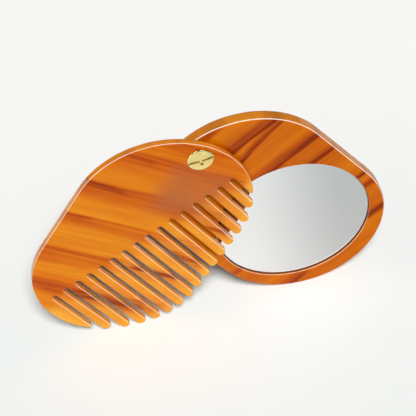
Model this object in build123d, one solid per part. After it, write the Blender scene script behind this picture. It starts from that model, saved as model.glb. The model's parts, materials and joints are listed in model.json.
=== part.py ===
from build123d import *
import math
import os

# Pocket mirror with a folding comb, in millimetres.
# Two flat acetate plates of one outline (two half rounds joined by straight sides) hang on a binding
# screw near one end and stand open like a fan, on the edges of their far ends.
# X runs to the right, Z up, and the comb is in front, towards -Y. The origin is on the floor, straight
# below the pivot, half way through the depth.

# the outline that both plates share
END_RADIUS = 33.5
STRAIGHT = 31.0
PIVOT_EDGE = 6.0
OPENING = 70.0

# comb
COMB_THICK = 2.6
COMB_ARRIS = 0.4
SLOT_COUNT = 16
SLOT_WIDTH = 2.0
END_TOOTH = 5.7
TOOTH_LEAN = 24.5
ROOT_PAST_CENTRE = 1.2
TIP_ROUND = 1.6
TIP_FULLNESS = 0.465
END_TIP_ROUND = 0.6

# mirror plate and what its pocket holds, from the face inwards
MIRROR_THICK = 4.6
MIRROR_ROUND = 0.9
POCKET_SETBACK = 2.8
POCKET_ROUND = 0.3
GLASS_RADIUS = 29.05
GLASS_THICK = 1.8
GLASS_BEVEL = 0.3
GLASS_SINK = 0.95
GLASS_FIT = 0.15
SILVER_THICK = 0.1
SILVER_MARGIN = 0.5
PAD_RADIUS = 25.0
PAD_THICK = 0.35

# binding screw: a post through both plates, and a screw into the post
POST_RADIUS = 2.5
POST_PRESS_FIT = 0.02
COMB_RUN_FIT = 0.05
FLANGE_RADIUS = 4.75
FLANGE_THICK = 0.9
FLANGE_SINK = 0.2
FLANGE_FIT = 0.2
BORE_DEPTH = 5.8
SHANK_RADIUS = 1.5
SHANK_FIT = 0.02
SHANK_LENGTH = 5.0
SHANK_POINT = 0.3
HEAD_RADIUS = 4.75
HEAD_THICK = 1.1
HEAD_ROUND = 0.45
HEAD_PLAY = 0.05
DRIVE_WIDTH = 0.95
DRIVE_DEPTH = 0.6
DRIVE_ARM = 2.1
DRIVE_TURN = 8.0

# washers
SPACER_RADIUS = 5.0
SPACER_THICK = 0.38
SPACER_PLAY = 0.02
WASHER_BORE_FIT = 0.15
SPRING_RADIUS = 4.0
SPRING_STOCK = 0.25
SPRING_BOW = 0.45
SPRING_PLAY = 0.03
SEAT_FIT = 0.3

# two lengths are taken as the same when they differ by less than this
SAME = 0.001

# distances that follow from the values above
NEAR = END_RADIUS - PIVOT_EDGE
FAR = NEAR + STRAIGHT
MIDDLE = (NEAR + FAR) / 2
PIVOT_HEIGHT = FAR * math.cos(math.radians(OPENING / 2)) + END_RADIUS
COMB_TURN = -90 - OPENING / 2
MIRROR_TURN = -90 + OPENING / 2

# depths, counted from the mirror plate's face towards the viewer
COMB_BACK = SPACER_THICK + SPACER_PLAY
COMB_FRONT = COMB_BACK + COMB_THICK
POST_END = COMB_FRONT + HEAD_PLAY
HEAD_FRONT = POST_END + HEAD_THICK
SPRING_SEAT = POST_END - SPRING_STOCK - SPRING_BOW - 2 * SPRING_PLAY
PAD_SEAT = -(GLASS_SINK + GLASS_THICK + SILVER_THICK + PAD_THICK)
FLANGE_SEAT = -(MIRROR_THICK - FLANGE_SINK - FLANGE_THICK)
FACE_Y = (HEAD_FRONT - MIRROR_THICK) / 2


def stand(turn=0.0):
    """The frame of a plate that hangs on the pivot: its long axis along X, Z towards the viewer."""
    upright = Plane(origin=(0, FACE_Y, PIVOT_HEIGHT), x_dir=(1, 0, 0), z_dir=(0, -1, 0))
    return Location(upright) * Rot(0, 0, turn)


def layer(sketch, depth, thick, turn=0.0):
    """A sketch in a plate's frame made solid, from its depth forwards."""
    return extrude(stand(turn) * Pos(0, 0, depth) * sketch, thick)


def rims(part, depths):
    """The edges of a part that lie flat at the depths."""
    found = []
    for edge in part.edges():
        box = edge.bounding_box()
        at_depth = any(abs(FACE_Y - depth - box.center().Y) < SAME for depth in depths)
        if box.size.Y < SAME and at_depth:
            found.append(edge)
    return found


def outline():
    """The outline of both plates, in a plate's frame."""
    return Pos(MIDDLE, 0) * SlotCenterToCenter(STRAIGHT, 2 * END_RADIUS)


# Comb plate: sheet with a row of saw cuts, its corners rounded and its arrises eased
def comb_plate():
    # the cuts lean from the long axis, and are spread evenly over the plate's width across them
    across = STRAIGHT * math.cos(math.radians(TOOTH_LEAN)) + 2 * END_RADIUS
    pitch = (across - 2 * END_TOOTH - SLOT_WIDTH) / (SLOT_COUNT - 1)
    places = [(n - (SLOT_COUNT - 1) / 2) * pitch for n in range(SLOT_COUNT)]
    row = Pos(MIDDLE, 0) * Rot(0, 0, -TOOTH_LEAN)
    reach = END_RADIUS + STRAIGHT
    cut = Pos(0, reach / 2) * Rectangle(SLOT_WIDTH, reach) + Circle(SLOT_WIDTH / 2)
    root = SLOT_WIDTH / 2 - ROOT_PAST_CENTRE

    toothed = outline() - [row * Pos(place, root) * cut for place in places]
    plate = layer(toothed, COMB_BACK, COMB_THICK, COMB_TURN)

    def corners(outermost):
        """The corners of the teeth: the outermost two, on the end cuts' outer walls, or all the others."""
        found = []
        for edge in plate.edges().filter_by(Axis.Y):
            spot = ((stand(COMB_TURN) * row).inverse() * Pos(edge.center())).position
            on_wall = any(abs(abs(spot.X - place) - SLOT_WIDTH / 2) < SAME for place in places)
            if on_wall and spot.Y > SLOT_WIDTH and (abs(spot.X) > places[-1]) == outermost:
                found.append(edge)
        return found

    # a tooth's tip can't be rounder than its width allows
    plate = fillet(corners(False), min(TIP_ROUND, TIP_FULLNESS * (pitch - SLOT_WIDTH)))
    plate = fillet(corners(True), END_TIP_ROUND)
    plate = chamfer(rims(plate, [COMB_BACK, COMB_FRONT]), COMB_ARRIS)
    plate -= layer(Circle(POST_RADIUS + COMB_RUN_FIT), COMB_BACK, COMB_THICK)
    plate -= layer(Circle(SPRING_RADIUS + SEAT_FIT), SPRING_SEAT, COMB_THICK)
    return plate


# Mirror plate: thicker sheet with a round pocket in its face and a seat for the post's flange behind
def mirror_plate():
    depth = PAD_THICK + SILVER_THICK + GLASS_THICK + GLASS_SINK
    plate = layer(outline(), -MIRROR_THICK, MIRROR_THICK, MIRROR_TURN)
    plate = fillet(rims(plate, [-MIRROR_THICK, 0]), MIRROR_ROUND)
    pocket = Pos(FAR - POCKET_SETBACK, 0) * Circle(GLASS_RADIUS + GLASS_FIT)
    plate -= layer(pocket, PAD_SEAT, depth, MIRROR_TURN)
    mouth = [edge for edge in rims(plate, [0]) if edge.geom_type == GeomType.CIRCLE]
    mouth = [edge for edge in mouth if abs(edge.radius - GLASS_RADIUS - GLASS_FIT) < SAME]
    plate = fillet(mouth, POCKET_ROUND)
    plate -= layer(Circle(POST_RADIUS + POST_PRESS_FIT), -MIRROR_THICK, MIRROR_THICK)
    plate -= layer(Circle(FLANGE_RADIUS + FLANGE_FIT), -MIRROR_THICK, FLANGE_SINK + FLANGE_THICK)
    return plate


# Mirror: adhesive pad on the pocket's floor, silver coat, and glass with a ground front edge
def disc(radius, depth, thick):
    return layer(Pos(FAR - POCKET_SETBACK, 0) * Circle(radius), depth, thick, MIRROR_TURN)


def adhesive_pad():
    return disc(PAD_RADIUS, PAD_SEAT, PAD_THICK)


def mirror_silvering():
    return disc(GLASS_RADIUS - SILVER_MARGIN, PAD_SEAT + PAD_THICK, SILVER_THICK)


def mirror_glass():
    glass = disc(GLASS_RADIUS, -(GLASS_SINK + GLASS_THICK), GLASS_THICK)
    return chamfer(rims(glass, [-GLASS_SINK]), GLASS_BEVEL)


# Post of the binding screw: flange sunk in the mirror plate's back, blind bore from the front
def pivot_barrel():
    post = layer(Circle(POST_RADIUS), FLANGE_SEAT, POST_END - FLANGE_SEAT)
    post += layer(Circle(FLANGE_RADIUS), FLANGE_SEAT - FLANGE_THICK, FLANGE_THICK)
    post -= layer(Circle(SHANK_RADIUS + SHANK_FIT), POST_END - BORE_DEPTH, BORE_DEPTH)
    return post


# Screw: low head with a rounded rim, a slot right across it and a short cross slot
def pivot_screw():
    head = layer(Circle(HEAD_RADIUS), POST_END, HEAD_THICK)
    head = fillet(rims(head, [HEAD_FRONT]), HEAD_ROUND)
    drive = Rectangle(3 * HEAD_RADIUS, DRIVE_WIDTH) + Rectangle(DRIVE_WIDTH, 2 * DRIVE_ARM)
    head -= layer(drive, HEAD_FRONT - DRIVE_DEPTH, HEAD_THICK, DRIVE_TURN)
    shank = layer(Circle(SHANK_RADIUS), POST_END - SHANK_LENGTH, SHANK_LENGTH)
    shank = chamfer(rims(shank, [POST_END - SHANK_LENGTH]), SHANK_POINT)
    return head + shank


# Washers: a flat one between the plates, and a bowed one in the comb's seat below the screw's head
def spacer_washer():
    return layer(Circle(SPACER_RADIUS) - Circle(POST_RADIUS + WASHER_BORE_FIT), 0, SPACER_THICK)


def spring_washer():
    # the ring's underside is part of a cylinder that lies along the comb's long axis
    bend = (SPRING_RADIUS**2 + SPRING_BOW**2) / (2 * SPRING_BOW)
    top = POST_END - SPRING_PLAY
    ring = Circle(SPRING_RADIUS) - Circle(POST_RADIUS + WASHER_BORE_FIT)
    blank = layer(ring, SPRING_SEAT, POST_END - SPRING_SEAT, COMB_TURN)
    centre = Location((0, FACE_Y - top + SPRING_STOCK + bend, PIVOT_HEIGHT), (0, -COMB_TURN, 0))
    shell = Cylinder(bend + SPRING_STOCK, 3 * SPRING_RADIUS) - Cylinder(bend, 3 * SPRING_RADIUS)
    return blank & centre * Rot(0, 90, 0) * shell


os.makedirs("parts", exist_ok=True)
export_step(comb_plate(), "parts/comb_plate.step")
export_step(mirror_plate(), "parts/mirror_plate.step")
export_step(adhesive_pad(), "parts/adhesive_pad.step")
export_step(mirror_silvering(), "parts/mirror_silvering.step")
export_step(mirror_glass(), "parts/mirror_glass.step")
export_step(pivot_barrel(), "parts/pivot_barrel.step")
export_step(pivot_screw(), "parts/pivot_screw.step")
export_step(spacer_washer(), "parts/spacer_washer.step")
export_step(spring_washer(), "parts/spring_washer.step")
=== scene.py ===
import json
import math

import bmesh
import bpy
from mathutils import Matrix, Vector


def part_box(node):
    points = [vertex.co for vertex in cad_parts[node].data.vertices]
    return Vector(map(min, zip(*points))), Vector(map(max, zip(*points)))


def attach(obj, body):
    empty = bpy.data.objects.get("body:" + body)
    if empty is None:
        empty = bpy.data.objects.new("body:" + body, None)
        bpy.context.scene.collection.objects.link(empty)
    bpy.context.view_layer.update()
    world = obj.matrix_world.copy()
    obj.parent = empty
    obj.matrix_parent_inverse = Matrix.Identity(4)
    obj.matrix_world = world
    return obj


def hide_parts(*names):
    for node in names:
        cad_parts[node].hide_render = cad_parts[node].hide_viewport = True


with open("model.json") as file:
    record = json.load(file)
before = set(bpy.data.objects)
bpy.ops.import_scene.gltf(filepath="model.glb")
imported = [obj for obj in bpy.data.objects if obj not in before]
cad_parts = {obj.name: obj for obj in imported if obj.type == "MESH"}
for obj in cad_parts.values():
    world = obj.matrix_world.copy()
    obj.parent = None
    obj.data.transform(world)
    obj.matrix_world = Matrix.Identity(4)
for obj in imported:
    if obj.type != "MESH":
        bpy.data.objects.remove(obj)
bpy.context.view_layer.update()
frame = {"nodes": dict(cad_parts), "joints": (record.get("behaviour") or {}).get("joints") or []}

MM = 0.001


# Comb plate
# One sheet of amber tortoiseshell acetate, sawn through with a row of slanted cuts and then tumbled, so
# that every corner and arris is round. It hangs on the pivot post, and turns on it.
END_RADIUS = 33.5 * MM
STRAIGHT = 31.0 * MM
PIVOT_EDGE = 6.0 * MM
OPENING = 70.0
SLOT_COUNT = 16
SLOT_WIDTH = 2.0 * MM
END_TOOTH = 5.7 * MM
TOOTH_LEAN = math.radians(24.5)
ROOT_PAST_CENTRE = 1.2 * MM
TIP_ROUND = 1.6 * MM
END_TIP_ROUND = 0.6 * MM
COMB_ARRIS = 0.5 * MM
POST_HOLE = 2.55 * MM
WASHER_SEAT = 4.3 * MM
WASHER_SEAT_DEPTH = 0.71 * MM
CIRCLE_STEPS = 96
SHARP_TURN = math.radians(30)

comb_low, comb_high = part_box("comb_plate")
near_centre = END_RADIUS - PIVOT_EDGE
middle = near_centre + STRAIGHT / 2
pivot = Vector(frame["joints"][0]["pos_m"])
comb_thickness = comb_high[1] - comb_low[1]


def hung(front_y, degrees):
    """The place of a plate that hangs on the pivot: X along it, Y across, Z towards the viewer."""
    upright = Matrix(((1, 0, 0), (0, 0, -1), (0, 1, 0))).to_4x4()
    place = Matrix.Translation((pivot.x, front_y, pivot.z))
    return place @ upright @ Matrix.Rotation(math.radians(degrees), 4, "Z")


def add(tree, kind, values=(), **options):
    """Adds a node with its options, and feeds its open sockets in order with numbers or other nodes."""
    node = tree.nodes.new(kind)
    for option, value in options.items():
        setattr(node, option, value)
    sockets = [socket for socket in node.inputs if socket.enabled]
    for socket, value in zip(sockets, values):
        if isinstance(value, bpy.types.Node):
            value = next(output for output in value.outputs if output.enabled)
        if isinstance(value, bpy.types.NodeSocket):
            tree.links.new(value, socket)
        elif value is not None:
            socket.default_value = value
    return node


def maths(tree, operation, first, second=0.0, third=0.0):
    return add(tree, "ShaderNodeMath", (first, second, third), operation=operation)


def shape_tree(name, sizes, counts=()):
    """An empty tree of geometry nodes with named inputs, and what its input node gives."""
    tree = bpy.data.node_groups.new(name, "GeometryNodeTree")
    tree.interface.new_socket(name="Geometry", in_out="INPUT", socket_type="NodeSocketGeometry")
    tree.interface.new_socket(name="Geometry", in_out="OUTPUT", socket_type="NodeSocketGeometry")
    for size in sizes:
        tree.interface.new_socket(name=size, in_out="INPUT", socket_type="NodeSocketFloat")
    for count in counts:
        tree.interface.new_socket(name=count, in_out="INPUT", socket_type="NodeSocketInt")
    tree.interface.new_socket(name="Finish", in_out="INPUT", socket_type="NodeSocketMaterial")
    return tree, tree.nodes.new("NodeGroupInput").outputs


def close_tree(tree, shapes, finish):
    """Joins the shapes, closes their seams, and ends the tree in real meshes of one finish."""
    joined = tree.nodes.new("GeometryNodeJoinGeometry")
    for shape in shapes:
        tree.links.new(shape.outputs[0], joined.inputs[0])
    closed = add(tree, "GeometryNodeMergeByDistance", (joined, True, 0.5e-6))
    smooth = add(tree, "GeometryNodeSetShadeSmooth", (closed, True, True))
    real = add(tree, "GeometryNodeRealizeInstances", (smooth,))
    dressed = add(tree, "GeometryNodeSetMaterial", (real, True, finish))
    tree.links.new(dressed.outputs[0], tree.nodes.new("NodeGroupOutput").inputs[0])


def rounded_corners(tree, curve, steps):
    """Rounds a curve's corners, each by the radius that its point carries."""
    corner = tree.nodes.new("GeometryNodeInputRadius")
    filleted = add(tree, "GeometryNodeFilletCurve", mode="POLY")
    for socket, value in (("Curve", curve), ("Radius", corner.outputs[0])):
        tree.links.new(value, filleted.inputs[socket])
    filleted.inputs["Count"].default_value = steps
    filleted.inputs["Limit Radius"].default_value = True
    return add(tree, "GeometryNodeSetCurveRadius", (filleted, True, 1.0))


def sheet_tree(name, openings):
    """A flat sheet with round arrises along its outline. Openings are (side, input name) pairs."""
    names = [title for side, title in openings]
    tree, inputs = shape_tree(name, ["Thickness", "Arris", "Pocket place"] + names, ["Arris steps"])
    outline = rounded_corners(tree, inputs["Geometry"], 8)

    # the section of the rim, from the front face round to the back one
    steps = inputs["Arris steps"]
    section = add(tree, "GeometryNodeCurvePrimitiveLine")
    section = add(tree, "GeometryNodeResampleCurve", (section, True, maths(tree, "MULTIPLY", steps, 2)))
    index = tree.nodes.new("GeometryNodeInputIndex")
    behind = maths(tree, "GREATER_THAN", index, maths(tree, "SUBTRACT", steps, 0.5))
    step = maths(tree, "SUBTRACT", index, maths(tree, "MULTIPLY", behind, steps))
    quarter = maths(tree, "DIVIDE", step, maths(tree, "SUBTRACT", steps, 1))
    angle = maths(tree, "MULTIPLY", maths(tree, "ADD", quarter, behind), math.pi / 2)
    inset = maths(tree, "MULTIPLY", inputs["Arris"], maths(tree, "SUBTRACT", maths(tree, "SINE", angle), 1))
    half = maths(tree, "SUBTRACT", maths(tree, "MULTIPLY", inputs["Thickness"], 0.5), inputs["Arris"])
    flank = maths(tree, "MULTIPLY", half, maths(tree, "MULTIPLY_ADD", behind, -2, 1))
    height = maths(tree, "MULTIPLY_ADD", maths(tree, "COSINE", angle), inputs["Arris"], flank)
    spot = add(tree, "ShaderNodeCombineXYZ", (inset, maths(tree, "MULTIPLY", height, -1), 0.0))
    section = add(tree, "GeometryNodeSetPosition", (section, True, spot))
    rim = add(tree, "GeometryNodeCurveToMesh")
    tree.links.new(outline.outputs[0], rim.inputs["Curve"])
    tree.links.new(section.outputs[0], rim.inputs["Profile Curve"])
    shapes = [rim]

    # the two flat faces, each with its round openings
    inward = add(tree, "ShaderNodeVectorMath", operation="SCALE")
    tree.links.new(tree.nodes.new("GeometryNodeInputNormal").outputs[0], inward.inputs[0])
    tree.links.new(maths(tree, "MULTIPLY", inputs["Arris"], -1).outputs[0], inward.inputs["Scale"])
    edge = add(tree, "GeometryNodeSetPosition", (outline, True, None, inward))
    for side in (1, -1):
        loops = tree.nodes.new("GeometryNodeJoinGeometry")
        tree.links.new(edge.outputs[0], loops.inputs[0])
        for opening_side, title in openings:
            if opening_side == side:
                circle = add(tree, "GeometryNodeCurvePrimitiveCircle", (CIRCLE_STEPS, inputs[title]))
                if title == "Pocket radius":
                    shift = add(tree, "ShaderNodeCombineXYZ", (inputs["Pocket place"], 0.0, 0.0))
                    circle = add(tree, "GeometryNodeSetPosition", (circle, True, None, shift))
                tree.links.new(circle.outputs[0], loops.inputs[0])
        face = add(tree, "GeometryNodeFillCurve", (loops,), mode="TRIANGLES")
        level = maths(tree, "MULTIPLY", inputs["Thickness"], side / 2)
        lift = add(tree, "ShaderNodeCombineXYZ", (0.0, 0.0, level))
        face = add(tree, "GeometryNodeSetPosition", (face, True, None, lift))
        shapes.append(face)
    close_tree(tree, shapes, inputs["Finish"])
    return tree


def turned_tree():
    """A turned shape: a profile of (radius, height) points, swept right round."""
    tree, inputs = shape_tree("Turned", ["Path radius"], ["Steps"])
    profile = rounded_corners(tree, inputs["Geometry"], 6)
    spot = add(tree, "ShaderNodeSeparateXYZ", (tree.nodes.new("GeometryNodeInputPosition"),))
    radius = maths(tree, "SUBTRACT", spot.outputs["X"], inputs["Path radius"])
    height = maths(tree, "MULTIPLY", spot.outputs["Y"], -1)
    moved = add(tree, "ShaderNodeCombineXYZ", (radius, height, 0.0))
    profile = add(tree, "GeometryNodeSetPosition", (profile, True, moved))
    path = add(tree, "GeometryNodeCurvePrimitiveCircle", (inputs["Steps"], inputs["Path radius"]))
    swept = add(tree, "GeometryNodeCurveToMesh")
    tree.links.new(path.outputs[0], swept.inputs["Curve"])
    tree.links.new(profile.outputs[0], swept.inputs["Profile Curve"])
    close_tree(tree, [swept], inputs["Finish"])
    return tree


def face_outward(piece, parts=()):
    """Joins other parts to a piece, closes the seams and turns every face outward."""
    finish = piece.data.materials[-1]
    merged = bmesh.new()
    for part in (piece, *parts):
        merged.from_mesh(part.data)
    bmesh.ops.remove_doubles(merged, verts=merged.verts, dist=2e-6)
    bmesh.ops.recalc_face_normals(merged, faces=merged.faces)
    for edge in merged.edges:
        edge.smooth = edge.calc_face_angle(0) < SHARP_TURN
    for face in merged.faces:
        face.material_index = 0
    merged.to_mesh(piece.data)
    merged.free()
    piece.data.materials.clear()
    piece.data.materials.append(finish)
    for part in parts:
        bpy.data.objects.remove(part)


def shaped(name, points, closed, tree, values, place):
    """A piece from a tree of geometry nodes, run on a curve of (x, y, corner radius) points."""
    curve = bpy.data.curves.new(name, "CURVE")
    curve.dimensions = "3D"
    spline = curve.splines.new("POLY")
    spline.points.add(len(points) - 1)
    for point, (x, y, corner) in zip(spline.points, points):
        point.co = (x, y, 0, 1)
        point.radius = corner
    spline.use_cyclic_u = closed
    draft = bpy.data.objects.new(name + "_draft", curve)
    bpy.context.collection.objects.link(draft)
    modifier = draft.modifiers.new("Shape", "NODES")
    modifier.node_group = tree
    for socket in tree.interface.items_tree:
        if socket.name in values:
            modifier[socket.identifier] = values[socket.name]
    graph = bpy.context.evaluated_depsgraph_get()
    mesh = bpy.data.meshes.new_from_object(draft.evaluated_get(graph))
    bpy.data.objects.remove(draft)
    mesh.transform(place)
    piece = bpy.data.objects.new(name, mesh)
    bpy.context.collection.objects.link(piece)
    face_outward(piece)
    return piece


def turned(name, profile, finish, place):
    """A turned piece from its profile, in millimetres."""
    points = [(radius * MM, height * MM, corner * MM) for radius, height, corner in profile]
    path = max(radius for radius, height, corner in points)
    values = {"Path radius": path, "Steps": CIRCLE_STEPS, "Finish": finish}
    return shaped(name, points, False, turned_shape, values, place)


def flat_faces(piece):
    """Keeps the flat faces flat where they run into round arrises."""
    modifier = piece.modifiers.new("Flat faces", "WEIGHTED_NORMAL")
    modifier.mode = "FACE_AREA"
    modifier.keep_sharp = True


def obround(count):
    """The outline that both plates share, counter-clockwise, as points without corners."""
    points = []
    for centre, start in ((near_centre, 90), (near_centre + STRAIGHT, -90)):
        for step in range(count + 1):
            turn = math.radians(start + 180 * step / count)
            points.append((centre + END_RADIUS * math.cos(turn), END_RADIUS * math.sin(turn), 0.0))
    return points


def comb_outline():
    """The obround with its saw cuts. Roots and tips are corners, which the tree rounds."""
    lean = Matrix.Rotation(-TOOTH_LEAN, 2)
    centre = Vector((middle, 0))
    half = STRAIGHT / 2
    across = STRAIGHT * math.cos(TOOTH_LEAN) + 2 * END_RADIUS
    pitch = (across - 2 * END_TOOTH - SLOT_WIDTH) / (SLOT_COUNT - 1)

    def tip(x):
        """Where a cut's wall leaves the obround."""
        along = lean @ Vector((0, 1))
        reach = 0.0
        for step in range(40):
            spot = lean @ Vector((x, 0)) + along * reach
            core = Vector((max(-half, min(half, spot.x)), 0))
            reach += END_RADIUS - (spot - core).length
        return centre + spot

    cuts = []
    for number in range(SLOT_COUNT):
        place = ((SLOT_COUNT - 1) / 2 - number) * pitch
        walls = (place + SLOT_WIDTH / 2, place - SLOT_WIDTH / 2)
        roots = [centre + lean @ Vector((wall, -ROOT_PAST_CENTRE)) for wall in walls]
        cuts.append((*tip(walls[0]), END_TIP_ROUND if number == 0 else TIP_ROUND))
        cuts += [(*root, SLOT_WIDTH / 2) for root in roots]
        cuts.append((*tip(walls[1]), END_TIP_ROUND if number == SLOT_COUNT - 1 else TIP_ROUND))

    # the outline runs on round the back, clear of the corners at both ends of the row
    ends = (Vector(cuts[-1][:2]), Vector(cuts[0][:2]))
    widest = (lean.transposed() @ (ends[1] - centre)).x
    back = []
    for x, y, corner in obround(60):
        spot = Vector((x, y))
        seen = lean.transposed() @ (spot - centre)
        clear = min((spot - end).length for end in ends) > 5 * MM
        if clear and (seen.y < 0 or abs(seen.x) > widest):
            back.append((x, y, 0.0))
    return cuts + back


def colour(red, green, blue):
    """A colour as it looks on a screen, 0 to 255, as the renderer's linear values."""
    return (*((value / 255) ** 2.2 for value in (red, green, blue)), 1)


def ramp(tree, factor, stops):
    """A colour ramp through (position, colour) stops."""
    node = add(tree, "ShaderNodeValToRGB", (factor,))
    elements = node.color_ramp.elements
    while len(elements) < len(stops):
        elements.new(0.5)
    for element, (position, shade) in zip(elements, stops):
        element.position = position
        element.color = shade
    return node


def mix(tree, factor, first, second, blend="MIX"):
    node = add(tree, "ShaderNodeMix", data_type="RGBA", blend_type=blend)
    sockets = (node.inputs["Factor"], node.inputs[6], node.inputs[7])
    for socket, value in zip(sockets, (factor, first, second)):
        if isinstance(value, bpy.types.Node):
            value = value.outputs[2] if value.bl_idname == "ShaderNodeMix" else value.outputs[0]
        if isinstance(value, bpy.types.NodeSocket):
            tree.links.new(value, socket)
        else:
            socket.default_value = value
    return node


def step_up(tree, value, low, high, start=0.0, end=1.0):
    """Runs smoothly from start to end while a value goes from low to high."""
    return add(tree, "ShaderNodeMapRange", (value, low, high, start, end), interpolation_type="SMOOTHSTEP")


def noise(tree, spot, stretch, detail=3.0, rough=0.5, warp=0.0):
    """Noise from 0 to 1 with its waves stretched: the numbers are waves in a millimetre along X, Y, Z."""
    scaled = add(tree, "ShaderNodeVectorMath", (spot, stretch), operation="MULTIPLY")
    node = add(tree, "ShaderNodeTexNoise")
    tree.links.new(scaled.outputs[0], node.inputs["Vector"])
    for socket, value in (("Scale", 1.0), ("Detail", detail), ("Roughness", rough), ("Distortion", warp)):
        node.inputs[socket].default_value = value
    return node


def streak_group():
    """A streak of dye across a plate: sharp on one side and fading on the other."""
    tree = bpy.data.node_groups.new("Streak", "ShaderNodeTree")
    for title in ("Along", "Across", "Place", "Slant", "Fade", "From", "To", "Depth"):
        tree.interface.new_socket(name=title, in_out="INPUT", socket_type="NodeSocketFloat")
    tree.interface.new_socket(name="Dye", in_out="OUTPUT", socket_type="NodeSocketFloat")
    given = tree.nodes.new("NodeGroupInput").outputs
    lean = maths(tree, "MULTIPLY_ADD", given["Across"], given["Slant"], given["Place"])
    away = maths(tree, "DIVIDE", maths(tree, "SUBTRACT", given["Along"], lean), given["Fade"])
    width = maths(tree, "ABSOLUTE", given["Fade"])
    sharp = step_up(tree, maths(tree, "MULTIPLY", away, width), -1.0, 0.5)
    fade = step_up(tree, away, 0.1, 1.0, 1.0, 0.0)
    begin = step_up(tree, maths(tree, "SUBTRACT", given["Across"], given["From"]), -3.0, 3.0)
    finish = step_up(tree, maths(tree, "SUBTRACT", given["Across"], given["To"]), -3.0, 3.0, 1.0, 0.0)
    length = maths(tree, "MULTIPLY", begin, finish)
    dye = maths(tree, "MULTIPLY", maths(tree, "MULTIPLY", sharp, fade), length)
    dye = maths(tree, "MULTIPLY", dye, given["Depth"])
    tree.links.new(dye.outputs[0], tree.nodes.new("NodeGroupOutput").inputs[0])
    return tree


def plate_spot(tree, place):
    """Where a point lies in a plate's own frame, in millimetres."""
    node = add(tree, "ShaderNodeMapping", vector_type="TEXTURE")
    tree.links.new(tree.nodes.new("ShaderNodeTexCoord").outputs["Object"], node.inputs["Vector"])
    node.inputs["Location"].default_value = place.to_translation()
    node.inputs["Rotation"].default_value = place.to_euler()
    node.inputs["Scale"].default_value = (MM, MM, MM)
    return node


def new_material(name):
    """A material with nodes, its tree and its shader."""
    material = bpy.data.materials.new(name)
    material.use_nodes = True
    tree = material.node_tree
    return material, tree, tree.nodes["Principled BSDF"]


def bumped(tree, shader, height, strength, distance):
    bump = add(tree, "ShaderNodeBump")
    bump.inputs["Strength"].default_value = strength
    bump.inputs["Distance"].default_value = distance
    tree.links.new(height.outputs[0], bump.inputs["Height"])
    tree.links.new(bump.outputs[0], shader.inputs["Normal"])


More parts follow.
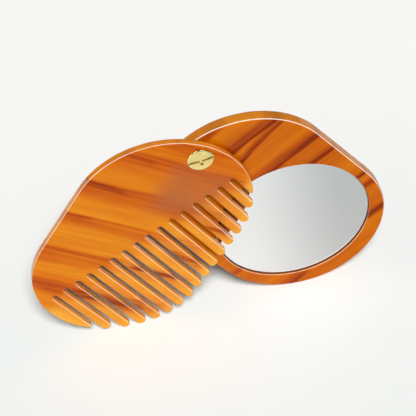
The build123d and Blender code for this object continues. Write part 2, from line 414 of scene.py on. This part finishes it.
def tortoiseshell(name, place, streaks, blush, seed, base, tint, tooth_lean=None, pocket=None):
    """Polished amber acetate with rust-brown streaks of (place, slant, fade, from, to, depth).

    The blush is a rosy cloud with two corners and a strength. A comb gives the lean of its teeth, for their
    painted glow, and the mirror plate the place and radius of its pocket, for the painted shade on its wall.
    """
    material, tree, shader = new_material(name)
    spot = plate_spot(tree, place)
    seeded = add(tree, "ShaderNodeVectorMath", (spot, (0, 0, seed)), operation="ADD")
    axes = add(tree, "ShaderNodeSeparateXYZ", (spot,))
    sway = noise(tree, seeded, (0.03, 0.05, 0.03), 2.0)
    along = maths(tree, "ADD", axes.outputs["X"], maths(tree, "MULTIPLY_ADD", sway, 3.0, -1.5))
    fibres = noise(tree, seeded, (1.3, 0.03, 0.3), 4.0, 0.62, 0.15)
    strands = step_up(tree, noise(tree, seeded, (0.7, 0.018, 0.2), 3.0, 0.6), 0.3, 0.7, 0.45, 1.25)
    dye = None
    for values in streaks:
        node = tree.nodes.new("ShaderNodeGroup")
        node.node_tree = streak
        tree.links.new(along.outputs[0], node.inputs["Along"])
        tree.links.new(axes.outputs["Y"], node.inputs["Across"])
        for title, value in zip(("Place", "Slant", "Fade", "From", "To", "Depth"), values):
            node.inputs[title].default_value = value
        dye = maths(tree, "ADD", dye, node) if dye else node
    dye = maths(tree, "MULTIPLY", dye, strands)
    dye = maths(tree, "MULTIPLY_ADD", fibres, 0.35, maths(tree, "ADD", dye, base))
    broad = noise(tree, seeded, (0.12, 0.015, 0.1), 2.0)
    dye = maths(tree, "MULTIPLY_ADD", step_up(tree, broad, 0.3, 0.7), 0.16, dye)
    shade = ramp(tree, dye, (
        (0.12, colour(228, 156, 52)), (0.27, colour(220, 130, 20)), (0.45, colour(206, 102, 4)),
        (0.70, colour(180, 74, 2)), (1.0, colour(132, 44, 2))))
    shade = mix(tree, 1.0, shade, tint, "MULTIPLY")

    # a rosy cloud in the sheet, near the pivot
    low, high, strength = blush
    cloud = noise(tree, seeded, (0.08, 0.05, 0.05), 2.0)
    inside = maths(tree, "MULTIPLY", step_up(tree, axes.outputs["X"], low[0] - 4, low[0] + 4),
                   step_up(tree, axes.outputs["X"], high[0] - 5, high[0] + 5, 1.0, 0.0))
    above = step_up(tree, axes.outputs["Y"], low[1] - 6, low[1] + 6)
    under = step_up(tree, axes.outputs["Y"], high[1] - 4, high[1] + 4, 1.0, 0.0)
    inside = maths(tree, "MULTIPLY", inside, above)
    inside = maths(tree, "MULTIPLY", inside, under)
    inside = maths(tree, "MULTIPLY", inside, maths(tree, "MULTIPLY", cloud, strength))
    shade = mix(tree, inside, shade, colour(172, 96, 54))

    # painted light: the narrow teeth are painted paler towards their tips, standing in for light that fills
    # them from all sides
    if tooth_lean is not None:
        row = add(tree, "ShaderNodeMapping", vector_type="TEXTURE")
        tree.links.new(spot.outputs[0], row.inputs["Vector"])
        row.inputs["Location"].default_value = (middle / MM, 0, 0)
        row.inputs["Rotation"].default_value = (0, 0, -tooth_lean)
        reach = add(tree, "ShaderNodeSeparateXYZ", (row,)).outputs["Y"]
        lit = step_up(tree, reach, -1.0, 8.0, 0.0, 0.30)
        past_far = maths(tree, "SUBTRACT", axes.outputs["X"], (near_centre + STRAIGHT) / MM)
        past_near = maths(tree, "SUBTRACT", axes.outputs["X"], near_centre / MM)
        beyond = maths(tree, "MAXIMUM", past_far, 0)
        before = maths(tree, "MINIMUM", past_near, 0)
        offset = maths(tree, "ADD", beyond, before)
        from_core = maths(tree, "SQRT", maths(tree, "MULTIPLY_ADD", offset, offset,
                                              maths(tree, "POWER", axes.outputs["Y"], 2.0)))
        tip = step_up(tree, from_core, 28.0, END_RADIUS / MM, 0.0, 0.42)
        tip = maths(tree, "MULTIPLY", tip, step_up(tree, reach, 2.0, 6.0))
        clear = step_up(tree, dye, 0.5, 0.9, 1.0, 0.15)
        painted_tip_glow = maths(tree, "MULTIPLY", maths(tree, "ADD", lit, tip), clear)
        shade = mix(tree, painted_tip_glow, shade, colour(238, 172, 66))

    # painted light: sawn walls are painted brighter, standing in for the light they let in
    normal = add(tree, "ShaderNodeSeparateXYZ", (tree.nodes.new("ShaderNodeNewGeometry").outputs["Normal"],))
    facing = maths(tree, "ABSOLUTE", normal.outputs["Y"])
    wall = step_up(tree, facing, 0.05, 0.5, 0.42, 0.0)
    shade = mix(tree, wall, shade, colour(252, 174, 66))

    # painted shade: the pocket's wall is painted dark beside the glass
    if pocket is not None:
        middle_at, reach_to = pocket
        off = maths(tree, "SUBTRACT", axes.outputs["X"], middle_at)
        from_pocket = maths(tree, "SQRT", maths(tree, "MULTIPLY_ADD", off, off,
                                                maths(tree, "POWER", axes.outputs["Y"], 2.0)))
        painted_pocket_shade = maths(tree, "LESS_THAN", from_pocket, reach_to + 0.1)
        painted_pocket_shade = maths(tree, "MULTIPLY", painted_pocket_shade, step_up(tree, facing, 0.1, 0.4, 0.85, 0.0))
        shade = mix(tree, painted_pocket_shade, shade, colour(96, 38, 12))

    # a thin cream line on the round arrises that face up, in place of a highlight
    line = step_up(tree, facing, 0.50, 0.68)
    line = maths(tree, "MULTIPLY", line, step_up(tree, facing, 0.76, 0.92, 1.0, 0.0))
    line = maths(tree, "MULTIPLY", line, step_up(tree, normal.outputs["Z"], 0.0, 0.35, 0.06, 0.85))
    shade = mix(tree, line, shade, colour(246, 240, 216))
    tree.links.new(shade.outputs[2], shader.inputs["Base Color"])

    # polish: faint waves, and hairline scratches along and across the plate
    shader.inputs["IOR"].default_value = 1.48
    gloss = step_up(tree, facing, 0.2, 0.98, 0.6, 0.12)
    tree.links.new(gloss.outputs[0], shader.inputs["Specular IOR Level"])
    shader.inputs["Subsurface Weight"].default_value = 0.5
    shader.inputs["Subsurface Radius"].default_value = (2.6, 1.3, 0.3)
    shader.inputs["Subsurface Scale"].default_value = MM
    smear = noise(tree, seeded, (0.12, 0.09, 0.12), 4.0, 0.6)
    tree.links.new(step_up(tree, smear, 0.3, 0.8, 0.05, 0.13).outputs[0], shader.inputs["Roughness"])
    hairs = noise(tree, seeded, (0.25, 9.0, 0.25), 3.0, 0.7)
    waves = maths(tree, "MULTIPLY_ADD", hairs, 0.06, noise(tree, seeded, (0.1, 0.12, 0.1), 1.0))
    bumped(tree, shader, waves, 0.35, 0.0001)
    return material


streak = streak_group()
comb_streaks = [(4.5 + 16.8 * number, 0, 9.5, -40, 24, 0.34) for number in range(5)]
comb_streaks.append((-6.0, 0, 14.0, -30, 30, 0.32))
comb_streaks += [
    (8.5, 0.1, 2.5, -30, -14, 0.3), (25.0, 0.12, 3.0, -40, -17, 0.3), (41.0, 0.1, 2.5, -40, -24, 0.3),
    (61.5, 0, 3.5, -40, -12, 0.2), (76.0, 0, 4.0, -26, -16, 0.2),
    (26.0, 0.1, 5.0, 18, 31, 0.45), (42.0, 0.15, 7.0, 13, 29, 0.5), (56.0, 0, 6.0, 3, 27, 0.45),
    (74.0, 0, 7.0, -12, 17, 0.45)]
comb_place = hung((comb_low[1] + comb_high[1]) / 2, -90 - OPENING / 2)
comb_acetate = tortoiseshell(
    "comb_acetate", comb_place, comb_streaks, ((5, -6), (28, 16), 1.2), 3.0, 0.06,
    (0.97, 0.99, 0.9, 1), TOOTH_LEAN)
comb_sheet = sheet_tree("Comb sheet", [(1, "Seat radius"), (-1, "Post hole radius")])
turned_shape = turned_tree()
comb = shaped("acetate_comb", comb_outline(), True, comb_sheet, {
    "Thickness": comb_thickness, "Arris": COMB_ARRIS, "Arris steps": 7, "Seat radius": WASHER_SEAT,
    "Post hole radius": POST_HOLE, "Finish": comb_acetate}, comb_place)
half_comb = comb_thickness / 2 / MM
seat_floor = half_comb - WASHER_SEAT_DEPTH / MM
seat_walls = turned("seat_walls", [
    (WASHER_SEAT / MM, half_comb, 0), (WASHER_SEAT / MM, seat_floor, 0), (POST_HOLE / MM, seat_floor, 0),
    (POST_HOLE / MM, -half_comb, 0)], comb_acetate, comb_place)
face_outward(comb, [seat_walls])
flat_faces(comb)
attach(comb, "comb")
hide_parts("comb_plate")


# Mirror plate
# A thicker sheet of the same acetate and outline, polished by hand, with a round pocket milled in its face
# for the glass, and a smaller seat in its back for the post's flange.
MIRROR_ROUND = 0.9 * MM
POCKET_PLACE = 55.7 * MM
POCKET_RADIUS = 29.2
POCKET_DEPTH = 3.2
POCKET_ROUND = 0.3
FLANGE_SEAT = 4.95
FLANGE_SEAT_DEPTH = 1.1
POST_FIT = 2.52

plate_low, plate_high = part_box("mirror_plate")
plate_thickness = plate_high[1] - plate_low[1]
half_plate = plate_thickness / 2 / MM
plate_place = hung((plate_low[1] + plate_high[1]) / 2, -90 + OPENING / 2)
plate_streaks = [
    (-2.5, 0, -5, 5, 34, 0.5), (10.5, 0, -6, 0, 34, 0.6),
    (17.5, -0.17, -4, 3, 34, 0.55), (28.5, 0, -6, 3, 34, 0.6),
    (38.0, 0, -4, 20, 34, 0.55), (57.5, 0, -3, 26, 36, 0.6), (64.0, 0, -4, 26, 36, 0.5),
    (78.0, 0, -5, 14, 32, 0.5), (84.0, 0, -6, -32, -14, 0.6), (61.0, 0, -5, -36, -26, 0.45)]
plate_acetate = tortoiseshell(
    "plate_acetate", plate_place, plate_streaks, ((-8, -40), (5, -20), 0.5), 11.0, 0.22,
    (0.91, 1.0, 0.85, 1), pocket=(POCKET_PLACE / MM, POCKET_RADIUS))
plate_sheet = sheet_tree("Mirror plate sheet", [
    (1, "Pocket radius"), (1, "Post hole radius"), (-1, "Flange seat radius")])
plate = shaped("acetate_mirror_plate", obround(90), True, plate_sheet, {
    "Thickness": plate_thickness, "Arris": MIRROR_ROUND, "Arris steps": 11, "Pocket place": POCKET_PLACE,
    "Pocket radius": (POCKET_RADIUS + POCKET_ROUND) * MM, "Post hole radius": POST_FIT * MM,
    "Flange seat radius": FLANGE_SEAT * MM, "Finish": plate_acetate}, plate_place)
pocket_place = plate_place @ Matrix.Translation((POCKET_PLACE, 0, 0))
pocket_walls = turned("pocket_walls", [
    (POCKET_RADIUS + POCKET_ROUND, half_plate, 0), (POCKET_RADIUS, half_plate, POCKET_ROUND),
    (POCKET_RADIUS, half_plate - POCKET_DEPTH, 0), (0, half_plate - POCKET_DEPTH, 0)],
    plate_acetate, pocket_place)
seat_level = FLANGE_SEAT_DEPTH - half_plate
hole_walls = turned("hole_walls", [
    (POST_FIT, half_plate, 0), (POST_FIT, seat_level, 0), (FLANGE_SEAT, seat_level, 0),
    (FLANGE_SEAT, -half_plate, 0)], plate_acetate, plate_place)
face_outward(plate, [pocket_walls, hole_walls])
flat_faces(plate)
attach(plate, "mirror")
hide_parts("mirror_plate")


# Mirror glass
# Clear float glass, 1.8 mm thick, cut round, with a narrow ground bevel at the front. It lies a little
# below the plate's face on an adhesive pad. Its bevel is frosted white all round, and towards the lowest
# edge the white band is painted wider, as a painted highlight.
GLASS_RADIUS = 29.05
GLASS_BEVEL = 0.3
RIM_HIGHLIGHT = 0.55

glass_low, glass_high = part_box("mirror_glass")
half_glass = (glass_high[1] - glass_low[1]) / 2 / MM
glass_place = hung((glass_low[1] + glass_high[1]) / 2, -90 + OPENING / 2)
glass_place = glass_place @ Matrix.Translation((POCKET_PLACE, 0, 0))
mirror_finish, mirror_nodes, mirror_shader = new_material("silvered_glass")
mirror_shader.inputs["Base Color"].default_value = (0.87, 0.88, 0.89, 1)
glass_spot = plate_spot(mirror_nodes, glass_place)
smear = noise(mirror_nodes, glass_spot, (0.05, 0.08, 0.05), 5.0, 0.6, 1.0)
from_middle = add(mirror_nodes, "ShaderNodeVectorMath", (glass_spot,), operation="LENGTH").outputs["Value"]
glass_axes = add(mirror_nodes, "ShaderNodeSeparateXYZ", (glass_spot,))
half_open = math.radians(OPENING / 2)
lowest = maths(mirror_nodes, "MULTIPLY_ADD", glass_axes.outputs["Y"], -math.sin(half_open),
               maths(mirror_nodes, "MULTIPLY", glass_axes.outputs["X"], math.cos(half_open)))
# painted highlight: towards the lowest edge the white frosted band reaches wider than the bevel
rim_highlight_width = step_up(mirror_nodes, lowest, 4.0, GLASS_RADIUS, 0.0, RIM_HIGHLIGHT)
rim_start = maths(mirror_nodes, "SUBTRACT", GLASS_RADIUS - GLASS_BEVEL + 0.02, rim_highlight_width)
frosted_and_highlit = maths(mirror_nodes, "GREATER_THAN", from_middle, rim_start)
silvered = maths(mirror_nodes, "SUBTRACT", 1, frosted_and_highlit)
frost = maths(mirror_nodes, "MULTIPLY_ADD", frosted_and_highlit, 0.4, step_up(mirror_nodes, smear, 0.45, 0.9, 0.0, 0.04))
mirror_nodes.links.new(silvered.outputs[0], mirror_shader.inputs["Metallic"])
mirror_nodes.links.new(frost.outputs[0], mirror_shader.inputs["Roughness"])
glass = turned("round_mirror", [
    (0, half_glass, 0), (GLASS_RADIUS - GLASS_BEVEL, half_glass, 0),
    (GLASS_RADIUS, half_glass - GLASS_BEVEL, 0), (GLASS_RADIUS, -half_glass, 0), (0, -half_glass, 0)],
    mirror_finish, glass_place)
flat_faces(glass)
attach(glass, "mirror")
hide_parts("mirror_glass")


# Screw and post
# Turned and polished brass. The screw has a low crowned head with a rounded rim, a slot right across it and
# a short cross slot, and goes into the post, whose flange is sunk in the back of the mirror plate.
HEAD_RADIUS = 4.75
HEAD_THICK = 1.1
HEAD_ROUND = 0.4
HEAD_CROWN = 0.5
DRIVE_WIDTH = 0.95
DRIVE_DEPTH = 0.75
DRIVE_ARM = 2.1
DRIVE_TURN = 8.0
SHANK_RADIUS = 1.5
SHANK_LENGTH = 5.0
POST_RADIUS = 2.5
BORE_RADIUS = 1.52
BORE_DEPTH = 5.8
FLANGE_RADIUS = 4.75
FLANGE_THICK = 0.9

screw_low, screw_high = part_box("pivot_screw")
barrel_low, barrel_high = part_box("pivot_barrel")
head_place = hung(screw_low[1], DRIVE_TURN)
brass, brass_nodes, brass_shader = new_material("turned_brass")
brass_spot = plate_spot(brass_nodes, head_place)
brass_axes = add(brass_nodes, "ShaderNodeSeparateXYZ", (brass_spot,))
tarnish = noise(brass_nodes, brass_spot, (0.5, 0.5, 0.5), 4.0, 0.6)
brass_shade = ramp(brass_nodes, tarnish, ((0.3, colour(250, 232, 160)), (0.75, colour(230, 200, 118))))
brass_nodes.links.new(brass_shade.outputs[0], brass_shader.inputs["Base Color"])
brass_shader.inputs["Metallic"].default_value = 1.0
across = maths(brass_nodes, "MULTIPLY", brass_axes.outputs["X"], brass_axes.outputs["X"])
radius = maths(brass_nodes, "SQRT", maths(
    brass_nodes, "MULTIPLY_ADD", brass_axes.outputs["Y"], brass_axes.outputs["Y"], across))
rings = maths(brass_nodes, "SINE", maths(brass_nodes, "MULTIPLY", radius, 40.0))
scratches = noise(brass_nodes, brass_spot, (3.0, 0.4, 1.0), 4.0, 0.7, 1.0)
relief = maths(brass_nodes, "MULTIPLY_ADD", rings, 0.12, scratches)
brass_nodes.links.new(
    step_up(brass_nodes, scratches, 0.3, 0.8, 0.12, 0.3).outputs[0], brass_shader.inputs["Roughness"])
bumped(brass_nodes, brass_shader, relief, 0.3, 0.00003)
crown = [(HEAD_RADIUS * step / 8, -HEAD_CROWN * (step / 8) ** 2, 0) for step in range(8)]
screw = turned("slotted_screw", [
    *crown, (HEAD_RADIUS, -HEAD_CROWN, HEAD_ROUND), (HEAD_RADIUS, -HEAD_THICK, 0.1),
    (SHANK_RADIUS, -HEAD_THICK, 0), (SHANK_RADIUS, -HEAD_THICK - SHANK_LENGTH, 0.3),
    (0, -HEAD_THICK - SHANK_LENGTH, 0)], brass, head_place)


def cutter(width, length):
    """A block that cuts a slot into the screw's head."""
    bpy.ops.mesh.primitive_cube_add(size=1)
    block = bpy.context.object
    block.matrix_world = head_place @ Matrix.Diagonal((width * MM, length * MM, 2 * DRIVE_DEPTH * MM, 1))
    return block


for width, length in ((3 * HEAD_RADIUS, DRIVE_WIDTH), (DRIVE_WIDTH, 2 * DRIVE_ARM)):
    block = cutter(width, length)
    cut = screw.modifiers.new("Slot", "BOOLEAN")
    cut.object = block
    cut.operation = "DIFFERENCE"
    cut.solver = "EXACT"
    graph = bpy.context.evaluated_depsgraph_get()
    mesh = bpy.data.meshes.new_from_object(screw.evaluated_get(graph))
    screw.modifiers.clear()
    screw.data = mesh
    bpy.data.objects.remove(block)
eased = screw.modifiers.new("Eased edges", "BEVEL")
eased.width = 0.07 * MM
eased.segments = 2
eased.limit_method = "ANGLE"
eased.angle_limit = math.radians(40)
flat_faces(screw)
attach(screw, "mirror")
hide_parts("pivot_screw")

barrel_length = (barrel_high[1] - barrel_low[1]) / MM
barrel = turned("threaded_post", [
    (0, -barrel_length, 0), (FLANGE_RADIUS, -barrel_length, 0.3),
    (FLANGE_RADIUS, FLANGE_THICK - barrel_length, 0.08), (POST_RADIUS, FLANGE_THICK - barrel_length, 0),
    (POST_RADIUS, 0, 0.08), (BORE_RADIUS, 0, 0.08), (BORE_RADIUS, -BORE_DEPTH, 0), (0, -BORE_DEPTH, 0)],
    brass, hung(barrel_low[1], 0))
flat_faces(barrel)
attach(barrel, "mirror")
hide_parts("pivot_barrel")


# Pad, silver coat and washers
# A white foam pad holds the glass, whose back has a silver coat under grey paint. A nylon washer lies
# between the plates, and a bowed one of spring steel under the screw's head. All keep their CAD shapes.
def plain_finish(name, low, high, metallic, rough, waves):
    """A finish of two close colours in soft patches, with a fine grain."""
    material, tree, shader = new_material(name)
    spot = tree.nodes.new("ShaderNodeTexCoord").outputs["Object"]
    spot = add(tree, "ShaderNodeVectorMath", (spot, (1 / MM, 1 / MM, 1 / MM)), operation="MULTIPLY")
    patches = noise(tree, spot, (waves, waves, waves), 4.0, 0.6)
    shade = ramp(tree, patches, ((0.3, colour(*low)), (0.7, colour(*high))))
    tree.links.new(shade.outputs[0], shader.inputs["Base Color"])
    shader.inputs["Metallic"].default_value = metallic
    matt = step_up(tree, patches, 0.2, 0.8, rough, rough + 0.15)
    tree.links.new(matt.outputs[0], shader.inputs["Roughness"])
    bumped(tree, shader, patches, 0.3, 0.00005)
    return material


for node_name, values in (
        ("adhesive_pad", ((226, 226, 220), (246, 246, 240), 0.0, 0.75, 2.0)),
        ("mirror_silvering", ((120, 122, 124), (146, 148, 150), 0.3, 0.4, 0.5)),
        ("spacer_washer", ((222, 218, 202), (240, 238, 228), 0.0, 0.45, 0.8)),
        ("spring_washer", ((196, 198, 202), (222, 224, 228), 1.0, 0.25, 1.5))):
    node = frame["nodes"][node_name]
    finish = plain_finish(node_name + "_finish", *values)
    for slot in node.material_slots:
        slot.material = finish


# Camera
# A long lens from the left, looking down at the open object by about 47 degrees, and rolled a little.
CAMERA_AIM = Vector((0.97, 0, 52.59)) * MM
CAMERA_DISTANCE = 581.4 * MM
CAMERA_TILT = math.radians(47.155)
CAMERA_SIDE = math.radians(-7.107)
CAMERA_ROLL = math.radians(-7.015)
CAMERA_LENS = 139.04

camera = bpy.data.objects.new("camera", bpy.data.cameras.new("camera"))
bpy.context.collection.objects.link(camera)
around = Matrix.Rotation(CAMERA_SIDE, 3, "Z")
ahead = around @ Vector((0, math.cos(CAMERA_TILT), -math.sin(CAMERA_TILT)))
level = around @ Vector((1, 0, 0))
below = ahead.cross(level)
right = level * math.cos(CAMERA_ROLL) - below * math.sin(CAMERA_ROLL)
down = level * math.sin(CAMERA_ROLL) + below * math.cos(CAMERA_ROLL)
turn = Matrix((right, -down, -ahead)).transposed().to_4x4()
camera.matrix_world = Matrix.Translation(CAMERA_AIM - ahead * CAMERA_DISTANCE) @ turn
camera.data.lens = CAMERA_LENS
camera.data.clip_start = 0.01
bpy.context.scene.camera = camera
bpy.context.scene.view_settings.view_transform = "Standard"


# Floor and light
# A white table under a dim studio sky that is brighter in front, a large soft key light from in front
# and above, and three strips that only show as reflections. The table carries painted shade: darker and
# cooler towards the front, and in reflections alone darker on one side.
FLOOR_SIZE = 6.0
FLOOR_NEAR = (0.895, 0.935, 0.92, 1)
FLOOR_FAR = (0.985, 0.985, 0.965, 1)
FRONT_LIGHT = 0.25
BACK_LIGHT = 0.02
KEY_STRENGTH = 3.35
KEY_SOFTNESS = math.radians(18)
KEY_FROM = (0.0, -0.574, 0.819)
STRIP_SIZE = (0.5, 0.12)
STRIP_AWAY = 1.0
STRIP_STRENGTH = 10.0

bpy.ops.mesh.primitive_plane_add(size=FLOOR_SIZE)
floor = bpy.context.object
floor.name = "table"
floor_finish, floor_nodes, floor_shader = new_material("white_table")
floor_shader.inputs["Roughness"].default_value = 0.9
floor_spot = floor_nodes.nodes.new("ShaderNodeTexCoord").outputs["Object"]
floor_spot = add(floor_nodes, "ShaderNodeSeparateXYZ", (floor_spot,))
# painted shade seen only in reflections: for glossy rays the table is painted darker towards +X, so the
# mirror darkens to one side
across = maths(floor_nodes, "MULTIPLY_ADD", floor_spot.outputs["Y"], 0.217, floor_spot.outputs["X"])
dimmer = step_up(floor_nodes, across, 0.008, 0.056, 0.0, 0.36)
seen_in_mirror = floor_nodes.nodes.new("ShaderNodeLightPath").outputs["Is Glossy Ray"]
dimmer = maths(floor_nodes, "MULTIPLY", dimmer, seen_in_mirror)
# painted shade: the table is painted darker and cooler towards the front, where the object throws warm light
# on it
distance = step_up(floor_nodes, floor_spot.outputs["Y"], -0.06, 0.12)
floor_shade = mix(floor_nodes, distance, FLOOR_NEAR, FLOOR_FAR)
floor_shade = mix(floor_nodes, dimmer, floor_shade, (0, 0, 0, 1))
floor_nodes.links.new(floor_shade.outputs[2], floor_shader.inputs["Base Color"])
floor_shader.inputs["Specular IOR Level"].default_value = 0.0
floor.data.materials.append(floor_finish)

world = bpy.data.worlds.new("studio")
bpy.context.scene.world = world
world.use_nodes = True
sky = world.node_tree
background = sky.nodes["Background"]
background.inputs["Color"].default_value = (1, 1, 1, 1)
toward = add(sky, "ShaderNodeSeparateXYZ", (sky.nodes.new("ShaderNodeTexCoord").outputs["Generated"],))
glow = step_up(sky, toward.outputs["Y"], -0.75, -0.15, FRONT_LIGHT, BACK_LIGHT)
sky.links.new(glow.outputs[0], background.inputs["Strength"])


def lamp(name, toward, distance, width, height, strength):
    """A soft lamp that faces the object, by the light that it sends, where 1 is white."""
    data = bpy.data.lights.new(name, "AREA")
    data.shape = "RECTANGLE"
    data.size = width
    data.size_y = height
    data.energy = strength * math.pi * width * height
    place = bpy.data.objects.new(name, data)
    away = Vector(toward).normalized()
    place.location = CAMERA_AIM + away * distance
    across = Vector((0, 1, 0))
    along = across.cross(away).normalized()
    across = away.cross(along)
    place.rotation_euler = Matrix((along, across, away)).transposed().to_euler()
    bpy.context.collection.objects.link(place)
    return place


key = bpy.data.objects.new("key light", bpy.data.lights.new("key light", "SUN"))
key.data.energy = KEY_STRENGTH
key.data.angle = KEY_SOFTNESS
key.rotation_euler = Vector(KEY_FROM).to_track_quat("Z", "Y").to_euler()
key.visible_glossy = False
bpy.context.collection.objects.link(key)
for name, toward in (("left strip", (-0.92, -0.18, 0.32)), ("top left strip", (-0.50, -0.28, 0.82)),
                     ("top right strip", (0.40, -0.26, 0.87))):
    strip = lamp(name, toward, STRIP_AWAY, *STRIP_SIZE, STRIP_STRENGTH)
    strip.visible_diffuse = False
